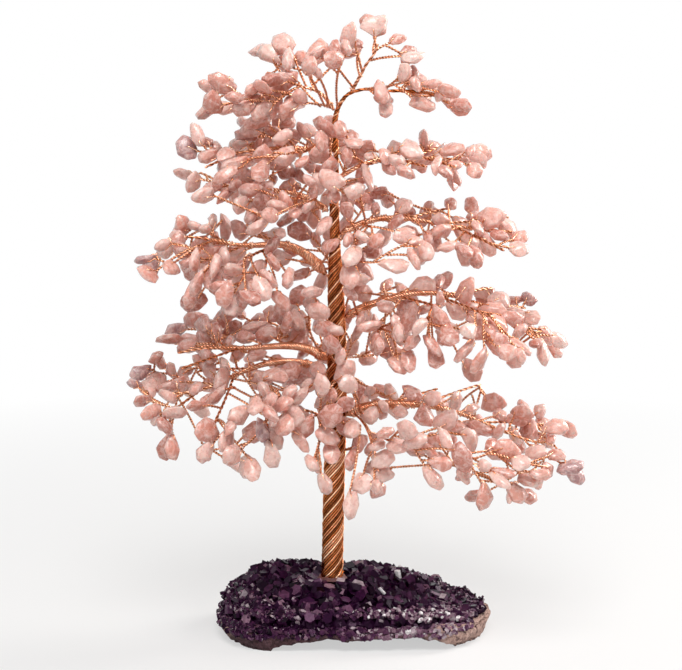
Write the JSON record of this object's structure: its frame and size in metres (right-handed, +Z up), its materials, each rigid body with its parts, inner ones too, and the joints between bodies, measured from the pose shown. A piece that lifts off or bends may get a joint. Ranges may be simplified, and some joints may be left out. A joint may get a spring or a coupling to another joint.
{
  "type": "gemstone tree ornament",
  "caption": "Gemstone tree ornament: a twisted copper wire tree with rose quartz chips, standing in a slab of amethyst on its natural rock.",
  "frame": {"origin": "under the trunk's foot, in the plane that the rock rests on", "axes": "+X to the right and +Y away from the viewer as the tree is shown, +Z up along the trunk"},
  "size_m": [0.1753, 0.0943, 0.2386],
  "materials": {
    "rose_quartz": "polished, milky and slightly see-through",
    "copper_wire": "bright drawn wire, twisted",
    "copper_glue": "splayed wire ends set in tinted glue",
    "amethyst": "natural crystal faces",
    "banded_quartz": "rough broken quartz",
    "host_rock": "rough natural rock"
  },
  "bodies": {
    "root": {"amethyst_druse": "amethyst", "back_low_chips": "rose_quartz", "back_low_stems": "copper_wire", "back_low_twigs": "copper_wire", "back_middle_chips": "rose_quartz", "back_middle_stems": "copper_wire", "back_middle_twigs": "copper_wire", "back_top_chips": "rose_quartz", "back_top_stems": "copper_wire", "back_top_twigs": "copper_wire", "base_rock": "host_rock", "crown_left_chips": "rose_quartz", "crown_left_stems": "copper_wire", "crown_left_twigs": "copper_wire", "crown_right_chips": "rose_quartz", "crown_right_stems": "copper_wire", "crown_right_twigs": "copper_wire", "foot_collar": "copper_glue", "limb_left_chips": "rose_quartz", "limb_left_stems": "copper_wire", "limb_left_twigs": "copper_wire", "lower_left_chips": "rose_quartz", "lower_left_stems": "copper_wire", "lower_left_twigs": "copper_wire", "lower_right_chips": "rose_quartz", "lower_right_stems": "copper_wire", "lower_right_twigs": "copper_wire", "middle_left_chips": "rose_quartz", "middle_left_stems": "copper_wire", "middle_left_twigs": "copper_wire", "middle_right_chips": "rose_quartz", "middle_right_stems": "copper_wire", "middle_right_twigs": "copper_wire", "quartz_band": "banded_quartz", "shoulder_left_chips": "rose_quartz", "shoulder_left_stems": "copper_wire", "shoulder_left_twigs": "copper_wire", "shoulder_right_chips": "rose_quartz", "shoulder_right_stems": "copper_wire", "shoulder_right_twigs": "copper_wire", "skirt_chips": "rose_quartz", "skirt_stems": "copper_wire", "skirt_twigs": "copper_wire", "trunk": "copper_wire", "upper_left_chips": "rose_quartz", "upper_left_stems": "copper_wire", "upper_left_twigs": "copper_wire", "upper_right_chips": "rose_quartz", "upper_right_stems": "copper_wire", "upper_right_twigs": "copper_wire"}
  },
  "joints": []
}
